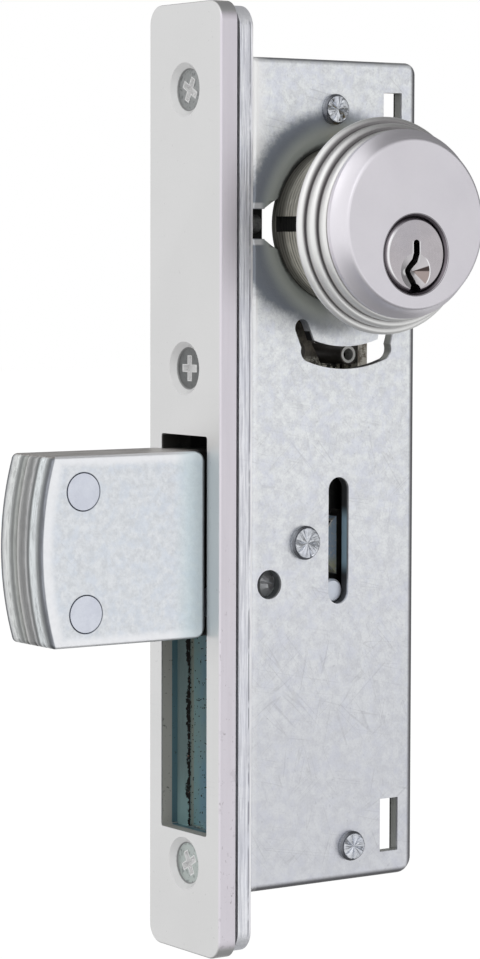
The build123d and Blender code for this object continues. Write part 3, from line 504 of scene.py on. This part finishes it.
def paintRivets(w, made):
    marks = rivetMarks
    x, y, z = place(w)
    inside = abs(y).ramp(caseSide - 0.05, caseSide + 0.05, 1, 0)
    # painted shade on the parts inside the case
    tintBy(w, made, inside, marks["inside"], 0.5, 0.3)
    for post in posts.values():
        across, up, radius = x - post["place"][0], z - post["place"][1], post["radius"]
        reach = across.length(up)
        root = reach.within(radius - 0.14, radius + 0.3, 0.04) * (1 - inside)
        # painted shade round the rivet's root
        tintBy(w, made, root * 0.85, marks["root"], 0.3)
        # the far ends' peened stars
        flutes = (up.maths("ARCTAN2", across) * 5 + noise(w, 1.6) * 5).maths("SINE")
        farEnd = y.ramp(caseSide + 0.8, caseSide + 0.9) * reach.ramp(radius - 0.3, radius - 0.6)
        made["height"] = made["height"] + flutes * farEnd * 6
    reach = (x - marks["studPlace"][0]).length(z - marks["studPlace"][1])
    eye = reach.ramp(marks["eyeRadius"] - 0.05, marks["eyeRadius"] + 0.05, 1, 0)
    # a painted highlight ring round a painted dark hole on the stud's face
    tintBy(w, made, eye * (y * -1).ramp(*marks["studFace"]) * inside, marks["eye"], 0.4, 0.0)
    pupil = reach.ramp(marks["pupilRadius"] + 0.02, marks["pupilRadius"] - 0.02)
    tintBy(w, made, pupil * (y * -1).ramp(0, 1) * inside, marks["pupil"], 0.5, 0.0)


# the bolt's sheared edges: a bright rolled band and a dark torn band on every ply, their brightness partly
# the sheared metal's own and partly painted highlight and painted shade
# each band's place from the far cheek (0) to the near cheek (1), with its colour
plyBands = (
    (0.0, (56, 58, 62)), (0.05, (86, 88, 92)), (0.085, (200, 202, 203)), (0.15, (216, 218, 217)),
    (0.205, (200, 203, 202)), (0.25, (156, 158, 158)), (0.295, (112, 114, 113)), (0.325, (122, 124, 123)),
    (0.36, (170, 173, 170)), (0.398, (126, 126, 124)), (0.45, (184, 184, 183)), (0.495, (136, 136, 136)),
    (0.55, (116, 116, 116)), (0.575, (130, 130, 130)), (0.612, (196, 196, 197)), (0.642, (174, 174, 175)),
    (0.69, (92, 94, 95)), (0.715, (106, 108, 109)), (0.755, (216, 221, 223)), (0.86, (210, 214, 216)),
    (0.91, (144, 147, 148)), (0.96, (92, 95, 98)), (0.99, (100, 102, 107)), (1.0, (146, 149, 157)))
plyMarks = {"torn": (96, 97, 99), "top": (208, 203, 200), "ridge": (120, 112, 106)}


def paintPlyEnds(w, made):
    marks = plyMarks
    x, y, z = place(w)
    up = z - boltMiddle
    bow = (x + (boltReach - boltArc)).length(up)
    end = bow.ramp(boltArc - 0.8, boltArc - 0.5)
    wander = (noise(w, 1.6, 3, 0.6, longer=(1, 1, 6)) - 0.5) * 0.03
    along = (boltHalf - y) / (2 * boltHalf) + wander
    bands = w.node("ShaderNodeValToRGB", {"stops": plyBands}, {"Fac": along})
    tintBy(w, made, end * 0.95, bands)
    torn = noise(w, 0.35, 3, 0.7, longer=(1, 1, 12)).ramp(0.42, 0.68)
    tintBy(w, made, end * torn * 0.38, marks["torn"])
    top = z.ramp(boltTop - 0.35, boltTop - 0.1)
    ridges = noise(w, 0.5, 3, 0.7, longer=(14, 1, 1)).ramp(0.35, 0.65)
    tintBy(w, made, top * 0.85, marks["top"], 0.36)
    tintBy(w, made, top * ridges * 0.5, marks["ridge"], 0.36)
    return end, bow, up


# the two outer plies: a painted highlight along the rounded rim, bluish near the faceplate, painted shade
# where the bolt goes into the faceplate and in the gaps between plies, a dark line round each flush rivet
cheekMarks = {
    "rim": (246, 247, 250), "near": (200, 220, 226), "root": (96, 100, 104), "gap": (70, 71, 70),
    "rivet": (84, 90, 104), "nearFrom": (-7.5, -3.0), "rootFrom": (-0.9, -0.4), "rimHeight": (14.7, 16.2),
    "rivets": ((-26.1, -47.6), (-25.6, -69.5)), "rivetRing": (3.2, 3.55)}


def paintCheek(w, made):
    marks = cheekMarks
    x, y, z = place(w)
    end, bow, up = paintPlyEnds(w, made)
    face = abs(y).ramp(boltHalf - 0.75, boltHalf - 0.5) * (1 - end)
    rim = bow.ramp(boltArc - 3.4, boltArc - 1.6).most(abs(up).ramp(*marks["rimHeight"]))
    # painted highlight along the rounded rim
    tintBy(w, made, face * rim * 0.8, marks["rim"])
    tintBy(w, made, face * x.ramp(*marks["nearFrom"]) * 0.55, marks["near"])
    # painted shade where the bolt goes into the faceplate
    tintBy(w, made, x.ramp(*marks["rootFrom"]) * 0.8, marks["root"], 0.5)
    gap = abs(abs(y) - 1.5 * plyThickness).ramp(0.15, 0.5, 1, 0)
    # painted shade in the gaps between plies
    tintBy(w, made, gap * (1 - end) * 0.85, marks["gap"], 0.5)
    for spotX, spotZ in marks["rivets"]:
        away = (x - spotX).length(z - spotZ)
        tintBy(w, made, face * away.within(*marks["rivetRing"], 0.08) * 0.85, marks["rivet"])


# the three core plies: painted shade inside the case and in the gaps between plies, painted light and painted
# glints on the fork's end where the upright slot lets light in, a painted shadow above it and a painted
# highlight on its lip
coreMarks = {
    "gap": (66, 67, 66), "inside": (46, 46, 44), "fork": (208, 232, 255), "low": (236, 240, 214),
    "speck": (246, 250, 255), "above": (20, 19, 18), "lip": (255, 255, 255),
    "gapFrom": (-31, -30), "insideFrom": (0.1, 0.8), "forkWidth": (29.0, 31.7), "forkHeight": (-66.5, -53.0),
    "lowFrom": (-61.5, -64.0), "lipRise": 1.3, "lipPlace": (-95.55, -95.1), "lipWidth": (28.5, 32.4),
    "aboveWidth": (28.5, 34), "aboveSlant": (-95.2, -95.0), "aboveHeight": (-58, -57)}


def paintCore(w, made):
    marks = coreMarks
    x, y, z = place(w)
    paintPlyEnds(w, made)
    gap = abs(abs(abs(y) - plyThickness) - plyThickness / 2).ramp(0.12, 0.45, 1, 0)
    # painted shade in the gaps between plies
    tintBy(w, made, gap * x.ramp(*marks["gapFrom"]) * 0.9, marks["gap"], 0.5)
    # painted shade inside the case
    tintBy(w, made, x.ramp(*marks["insideFrom"]), marks["inside"], 0.4, 0.3)
    fork = x.within(*marks["forkWidth"], 0.12) * z.within(*marks["forkHeight"], 0.6)
    # painted light on the fork's end, yellower low down, with painted glints
    tintBy(w, made, fork, marks["fork"], 0.3, 0.0)
    tintBy(w, made, fork * z.ramp(*marks["lowFrom"]), marks["low"], 0.3, 0.0)
    tintBy(w, made, fork * specks(w, 0.6, 0.58, (3, 3, 3)) * 0.7, marks["speck"], 0.3, 0.0)
    slant = z - x * marks["lipRise"]
    above = x.within(*marks["aboveWidth"], 0.2) * slant.ramp(*marks["aboveSlant"])
    # painted shadow above the fork's lip
    tintBy(w, made, above * z.ramp(*marks["aboveHeight"]), marks["above"], 0.6, 0.0)
    lip = slant.within(*marks["lipPlace"], 0.12) * x.within(*marks["lipWidth"], 0.1)
    # painted highlight on the fork's lip
    tintBy(w, made, lip, marks["lip"], 0.3, 0.0)


# the cylinder's body: worn thread turns on the barrel, darker as painted shade in their grooves, with painted
# glints, painted shade on the barrel's upper side and where it goes into the case, painted shade in the set
# screw's groove, and painted shade in the mouth round the plug
cylinderMarks = {
    "barrel": (206, 202, 190), "turn": (132, 129, 120), "glint": (250, 248, 238), "upper": (120, 120, 118),
    "shade": (30, 30, 28), "groove": (34, 34, 33), "throat": (112, 106, 112), "deep": (26, 24, 28),
    "rim": (40, 37, 42),
    "threadPitch": 0.794, "upperFrom": (-2, 6), "shadeFrom": (-12.8, -11.0), "grooveHalf": 1.4, "mouth": 7.5}


def paintCylinder(w, made):
    marks = cylinderMarks
    x, y, z = place(w)
    barrel = y.ramp(ringSeat - 0.05, ringSeat + 0.05)
    radius = (x - backset).length(z)
    turns = (y * (2 * math.pi / marks["threadPitch"])).maths("SINE").ramp(-0.6, 0.8)
    worn = noise(w, 1.6, 3, 0.6, longer=(3, 1, 3)).ramp(0.3, 0.65)
    tintBy(w, made, barrel, marks["barrel"], 0.4, 0.1)
    # the thread's grooves darkened, partly wear, partly painted shade
    tintBy(w, made, barrel * turns * (worn * 0.7 + 0.3), marks["turn"], 0.4, 0.2)
    glints = noise(w, 0.7, 2, 0.6, longer=(4, 0.3, 4)).ramp(0.58, 0.7)
    # painted glints on the thread
    tintBy(w, made, barrel * glints * 0.7, marks["glint"], 0.3, 0.1)
    # painted shade on the barrel's upper side
    tintBy(w, made, barrel * z.ramp(*marks["upperFrom"]) * 0.35, marks["upper"])
    tintBy(w, made, barrel * y.ramp(*marks["shadeFrom"]) * 0.7, marks["shade"], 0.5, 0.0)
    made["height"] = made["height"] + barrel * turns * -6
    groove = abs(z).ramp(marks["grooveHalf"] - 0.02, marks["grooveHalf"] + 0.02, 1, 0)
    groove = barrel * groove * radius.ramp(barrelRadius - 0.05, barrelRadius - 0.2)
    # painted shade in the set screw's groove
    tintBy(w, made, groove, marks["groove"], 0.5)

    reach = (x - backset).length(z + plugDrop)
    throat = reach.ramp(marks["mouth"] - 0.05, marks["mouth"], 1, 0) * (1 - barrel)
    throat = throat * y.ramp(headFace + 0.02, headFace + 0.08)
    # painted shade in the mouth round the plug, darkest deep in
    tintBy(w, made, throat, marks["throat"], 0.3)
    tintBy(w, made, throat * y.ramp(headFace + 0.4, headFace + 0.6), marks["deep"], 0.35)
    rim = reach.within(marks["mouth"] - 0.14, marks["mouth"], 0.05) * (1 - barrel)
    # a line of painted shade round the mouth's edge
    tintBy(w, made, rim * 0.75, marks["rim"], 0.35)


# the ring: painted shade at the root of each of its steps, given by its radius and its place in front of the
# door
ringMarks = {"root": (118, 115, 117), "steps": ((18.5, -1.5), (17.3, -3.6))}


def paintRing(w, made):
    x, y, z = place(w)
    radius = (x - backset).length(z)
    for step, depth in ringMarks["steps"]:
        root = radius.ramp(step + 0.9, step + 0.1) * abs(y - (doorFace + depth)).ramp(0.2, 0.6, 1, 0)
        tintBy(w, made, root * 0.9, ringMarks["root"])


# the plug: turned face, painted shade deep in the keyway and round the rim, painted highlights on the left
# rim and along the keyway's edges, and the cone round the keyway with painted reflections in its sectors, a
# painted highlight on its rim and a painted glint
plugMarks = {
    "keyway": (16, 15, 16), "rim": (92, 86, 92), "leftRim": (250, 250, 252), "rightRim": (120, 114, 120),
    "keyEdge": (244, 244, 246), "cone": (206, 204, 206), "sector": (150, 136, 132), "dark": (52, 43, 42),
    "coneRim": (246, 246, 248), "glint": (255, 255, 255),
    "radius": 6.5, "keyShift": 0.22, "keyHalf": 0.80, "keyHeight": (-1.4, 2.4),
    "coneDrop": 2.96, "coneRadius": 3.3, "glintPlace": (-2.2, -0.15),
    "leftAngles": (2.1, 2.7), "sectorAngles": (-0.80, 0.30), "darkAngles": (0.0, 0.30)}


def paintPlug(w, made):
    marks = plugMarks
    x, y, z = place(w)
    across, up = x - backset, z + plugDrop
    radius, angle = across.length(up), up.maths("ARCTAN2", across)
    made["height"] = made["height"] + (radius * 9).maths("SINE") * 0.4
    # painted shade deep in the keyway
    tintBy(w, made, y.ramp(plugFace + 0.62, plugFace + 1.1), marks["keyway"], 0.5)
    left = abs(angle).ramp(*marks["leftAngles"])
    rim = marks["radius"]
    # painted shade round the plug's rim, a painted highlight on its left side
    tintBy(w, made, radius.ramp(rim - 0.15, rim) * 0.8, marks["rim"], 0.3)
    tintBy(w, made, left * radius.within(rim - 0.55, rim - 0.2, 0.08) * 0.9, marks["leftRim"], 0.3)
    tintBy(w, made, radius.within(rim - 0.3, rim, 0.1) * (1 - left) * 0.5, marks["rightRim"], 0.3)
    keyEdge = abs(abs(across - marks["keyShift"]) - marks["keyHalf"]).ramp(0.05, 0.16, 1, 0)
    keyEdge = keyEdge * up.within(*marks["keyHeight"], 0.2) * y.ramp(plugFace + 0.5, plugFace + 0.4)
    # painted highlights along the keyway's edges
    tintBy(w, made, keyEdge * 0.7, marks["keyEdge"])

    coneUp = up + marks["coneDrop"]
    reach, turn = across.length(coneUp), coneUp.maths("ARCTAN2", across)
    cone = reach.ramp(marks["coneRadius"] - 0.1, marks["coneRadius"], 1, 0)
    tintBy(w, made, cone * 0.6, marks["cone"], 0.3)
    # painted reflections in the cone's sectors, one light and one dark
    tintBy(w, made, cone * turn.within(*marks["sectorAngles"], 0.05) * 0.9, marks["sector"], 0.3)
    tintBy(w, made, cone * turn.within(*marks["darkAngles"], 0.05) * 0.92, marks["dark"], 0.3)
    coneRim = reach.within(marks["coneRadius"] - 0.1, marks["coneRadius"] + 0.1, 0.06)
    # painted highlight on the cone's rim
    tintBy(w, made, coneRim * abs(turn).ramp(0.9, 0.6, 0, 1) * 0.9, marks["coneRim"], 0.3)
    glint = (across - marks["glintPlace"][0]).length(coneUp - marks["glintPlace"][1])
    tintBy(w, made, glint.ramp(0.35, 0.75, 1, 0) * 0.95, marks["glint"], 0.3, 0.3)


# the lift lever: painted highlight patches where the curved slot shows it
leverMarks = {"grease": (232, 230, 218), "top": (-24.4, -25.2), "bottom": (-36, -34), "from": (25.4, 26.2)}


def paintLever(w, made):
    x, y, z = place(w)
    low = z.ramp(*leverMarks["top"]) * z.ramp(*leverMarks["bottom"]) * x.ramp(*leverMarks["from"])
    grease = noise(w, 1.1, 3, 0.7, shift=(1, 6, 4)).ramp(0.38, 0.55)
    # painted highlight patches on the lever
    tintBy(w, made, low * grease, leverMarks["grease"], 0.5, 0.0)


# the faceplate's screws: each its own grey, mottled, with a painted highlight on the cross
screwMarks = {"mottle": (84, 86, 87), "cross": (252, 252, 252), "reach": 2.2, "half": 0.55, "soft": 0.25,
              "headReach": 5}


def paintScrews(w, made):
    marks = screwMarks
    x, y, z = place(w)
    for screw in faceScrews:
        up = z - screw["height"]
        near = abs(up).ramp(marks["headReach"], marks["headReach"] - 0.1)
        tintBy(w, made, near * 0.8, screw["colour"])
        mottle = noise(w, 0.9, 3, 0.7, shift=(2, 6, 3)).ramp(0.50, 0.64)
        tintBy(w, made, near * mottle * 0.55, marks["mottle"])
        cosine, sine = math.cos(math.radians(screw["turn"])), math.sin(math.radians(screw["turn"]))
        along, aside = abs(y * cosine + up * sine), abs(up * cosine - y * sine)
        arms = [one.ramp(marks["reach"] + marks["soft"], marks["reach"]) *
                other.ramp(marks["half"] + marks["soft"], marks["half"])
                for one, other in ((along, aside), (aside, along))]
        # painted highlight on the screw's cross
        tintBy(w, made, arms[0].most(arms[1]) * 0.95, marks["cross"], 0.4, 0.0)


tailMarks = {"right": (84, 88, 92)}  # the half of the tail's rivet in painted shade


def paintTail(w, made):
    x, y, z = place(w)
    ragged = (noise(w, 1.2, 2, 0.6) - 0.5) * 2.2
    right = (x - tailRivet["place"][0] + ragged).ramp(0.0, 0.25)
    # painted shade on the right half of the rivet's end
    tintBy(w, made, right, tailMarks["right"], 0.4, 0.3)


paints = {"faceplate": paintFaceplate, "front_plate": paintFrontPlate, "case": paintCase,
          "rivets": paintRivets, "bolt": paintCheek, "bolt_core": paintCore, "cylinder": paintCylinder,
          "plug": paintPlug, "ring": paintRing, "lever": paintLever, "screws": paintScrews,
          "tail_rivet": paintTail}
finishes = {name: metal(name, look, paints.get(name)) for name, look in looks.items()}
for part in frame["record"]["subparts"]:
    node = nodes[part["node"]]
    node.data.materials.clear()
    node.data.materials.append(finishes[part["material_slot"]])
print("finishes made,", len(finishes))


def deselect():
    bpy.ops.object.select_all(action="DESELECT")


def finishPiece(piece, name, finish):  # sets the origin, the shading and the finish
    deselect()
    piece.select_set(True)
    bpy.context.view_layer.objects.active = piece
    bpy.ops.object.transform_apply(location=True, rotation=True, scale=True)
    bpy.ops.object.shade_flat()
    piece.name = name
    piece.data.materials.clear()
    piece.data.materials.append(finishes[finish])


# the star that a staking tool leaves in a rivet's end: heights and the rim's width in millimetres, the ring's
# width as a share of the reach inside the rim, and the numbers of the raised and of the pressed spokes
starPeen = {
    "sides": 30, "sunk": 0.25, "proud": 0.3, "rim": 0.24, "ringShare": 0.45,
    "dome": 0.0, "ridge": 0.14, "pit": -0.34, "middle": -0.05,
    "ridges": (0, 6, 11, 16, 22, 26), "pits": (3, 9, 13, 19, 24, 28)}
tailPeen = {
    "sides": 30, "sunk": 0.25, "proud": 1.2, "rim": 0.12, "ringShare": 0.42,
    "dome": 0.85, "ridge": 0.05, "pit": -0.35, "middle": 1.0,
    "ridges": (2, 14, 22), "pits": (6, 11, 18, 26)}


def pick(piece, kind, wanted):  # selects the vertices or faces that a test of their middle and facing names
    bpy.ops.object.mode_set(mode="EDIT")
    bpy.ops.mesh.select_mode(type=kind)
    bpy.ops.mesh.select_all(action="DESELECT")
    bpy.ops.object.mode_set(mode="OBJECT")
    for item in piece.data.vertices if kind == "VERT" else piece.data.polygons:
        item.select = wanted(item.co if kind == "VERT" else item.center, item.normal)
    bpy.ops.object.mode_set(mode="EDIT")


def makeStar(name, post, face, finish, star):  # face: the Y of the rivet's flat end
    deselect()
    height = star["proud"] + star["sunk"]
    reach = post["radius"] * 0.985
    bpy.ops.mesh.primitive_cylinder_add(
        vertices=star["sides"], radius=reach * mm, depth=height * mm, end_fill_type="NGON",
        location=(post["place"][0] * mm, (face + star["sunk"] - height / 2) * mm, post["place"][1] * mm),
        rotation=(math.radians(90), 0, 0))
    piece = bpy.context.object
    pick(piece, "FACE", lambda middle, facing: facing.z > 0.9)
    bpy.ops.mesh.inset(thickness=star["rim"] * mm)
    rimReach = (reach - star["rim"]) * mm
    bpy.ops.mesh.inset(thickness=rimReach * star["ringShare"])
    bpy.ops.mesh.poke()
    sides = star["sides"]

    def along(co, spokes):  # whether a point lies on one of these spokes
        spot = (math.atan2(co.y, co.x) - post["turn"]) / (2 * math.pi / sides)
        return any(abs((spot - one + sides / 2) % sides - sides / 2) < 0.55 for one in spokes)

    every, ring, rim, middle = range(sides), (0.3, 0.7), (0.7, 1.03), (-1, 0.1)
    moves = ((every, ring, star["dome"]),
             (star["ridges"], ring, star["ridge"]), (star["pits"], ring, star["pit"]),
             (star["pits"], rim, star["pit"] * 0.7), (star["ridges"], rim, star["ridge"] * 0.5),
             (every, middle, star["middle"]))
    top = height / 2 * mm * 0.98
    for spokes, (low, high), lift in moves:
        pick(piece, "VERT", lambda co, facing: co.z > top * 0.3 and low < co.xy.length / rimReach < high and
             (low < 0 or along(co, spokes)))
        bpy.ops.transform.translate(value=(0, -lift * mm, 0))
    bpy.ops.object.mode_set(mode="OBJECT")
    finishPiece(piece, name, finish)
    return piece


for name, post in posts.items():
    star = makeStar(name, post, -caseSide - 1.0, "rivets", starPeen)
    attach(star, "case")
tail = makeStar("tailRivetStar", tailRivet, tailRivet["face"], "tail_rivet", tailPeen)
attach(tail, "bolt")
print("rivet stars made")

# the studio: a floor below the object and a pale room with one dark wall for the metal to mirror
studio = {"floorDrop": 22, "floorSize": 6.0, "floorWhite": 1.1, "floorShare": 0.86, "skyFill": 0.72,
          "darkWall": (0.80, 0.15, 0.58), "darkLevel": 0.28, "darkGround": 0.35, "frontGlow": 0.12}


def makeFloor():
    deselect()
    low = cadBox[0][2] - studio["floorDrop"] * mm
    bpy.ops.mesh.primitive_plane_add(size=studio["floorSize"], location=(0, 0, low))
    floor = bpy.context.object
    floor.name = "floor"
    bpy.ops.object.transform_apply(location=True)
    material, w = newMaterial("paleFloor")
    lit = w.node("ShaderNodeBsdfDiffuse", None, {"Color": (0.8, 0.8, 0.8, 1)})
    white = w.node("ShaderNodeEmission", None, {"Color": (1, 1, 1, 1), "Strength": studio["floorWhite"]})
    clear = w.node("ShaderNodeBsdfTransparent")
    seen = w.node("ShaderNodeLightPath", out="Is Camera Ray")
    mirrored = w.node("ShaderNodeLightPath", out="Is Glossy Ray")
    shader = w.node("ShaderNodeMixShader", None, {0: seen * studio["floorShare"], 1: lit, 2: white})
    shader = w.node("ShaderNodeMixShader", None, {0: mirrored, 1: shader, 2: clear})
    w.node("ShaderNodeOutputMaterial", None, {"Surface": shader})
    floor.data.materials.append(material)


def makeSky():
    world = bpy.data.worlds.new("studioSky")
    bpy.context.scene.world = world
    world.use_nodes = True
    world.node_tree.nodes.clear()
    w = Wire(world.node_tree)
    seen = w.node("ShaderNodeLightPath", out="Is Camera Ray")
    seen = seen.most(w.node("ShaderNodeLightPath", out="Is Transmission Ray"))
    mirrored = w.node("ShaderNodeLightPath", out="Is Glossy Ray")
    ray = w.node("ShaderNodeTexCoord", out="Generated")
    x, y, z = [w.node("ShaderNodeSeparateXYZ", None, {0: ray}, out=axis) for axis in "XYZ"]
    toWall = x * studio["darkWall"][0] + y * studio["darkWall"][1] + z * studio["darkWall"][2]
    room = toWall.ramp(0.35, 0.72, 1, studio["darkLevel"]) * (z * -1).ramp(0.3, 0.8, 1, studio["darkGround"])
    room = room + (x * -1).ramp(0.0, 0.4) * studio["frontGlow"]
    level = seen + (1 - seen) * (mirrored * room + (1 - mirrored) * studio["skyFill"])
    shade = w.node("ShaderNodeBackground", None, {"Color": (1, 1, 1, 1), "Strength": level})
    w.node("ShaderNodeOutputWorld", None, {"Surface": shade})


lamps = {"keyLamp": {"place": (-0.9, -0.9, 0.9), "size": 0.9, "watts": 1.2},
         "sideLamp": {"place": (0.2, -1.3, 0.3), "size": 0.7, "watts": 0.3}}
lampsAim = (0.01, 0, -0.045)


def makeLamps():
    for name, lamp in lamps.items():
        data = bpy.data.lights.new(name, "AREA")
        data.shape, data.size, data.energy = "SQUARE", lamp["size"], lamp["watts"]
        item = bpy.data.objects.new(name, data)
        bpy.context.scene.collection.objects.link(item)
        item.location = lamp["place"]
        aim = Vector(lampsAim) - item.location
        item.rotation_euler = aim.to_track_quat("-Z", "Y").to_euler()


# the camera's place, turn and lens, in millimetres, that a fit to the photograph gave
photoView = {"place": (-329.226, -493.227, -4.856), "right": (0.82208, -0.56936, 0.00240),
             "up": (0.03820, 0.05936, 0.99751), "lens": 121.465, "sensor": 36}


def makeCamera():
    data = bpy.data.cameras.new("camera")
    data.sensor_width, data.lens = photoView["sensor"], photoView["lens"]
    data.clip_start, data.clip_end = 0.01, 20
    camera = bpy.data.objects.new("camera", data)
    bpy.context.scene.collection.objects.link(camera)
    right, up = Vector(photoView["right"]), Vector(photoView["up"])
    turn = Matrix((right, up, right.cross(up))).transposed().to_4x4()
    camera.matrix_world = Matrix.Translation(Vector(photoView["place"]) * mm) @ turn
    bpy.context.scene.camera = camera


makeFloor()
makeSky()
makeLamps()
makeCamera()
bpy.context.scene.view_settings.view_transform = "Standard"
print("studio made")
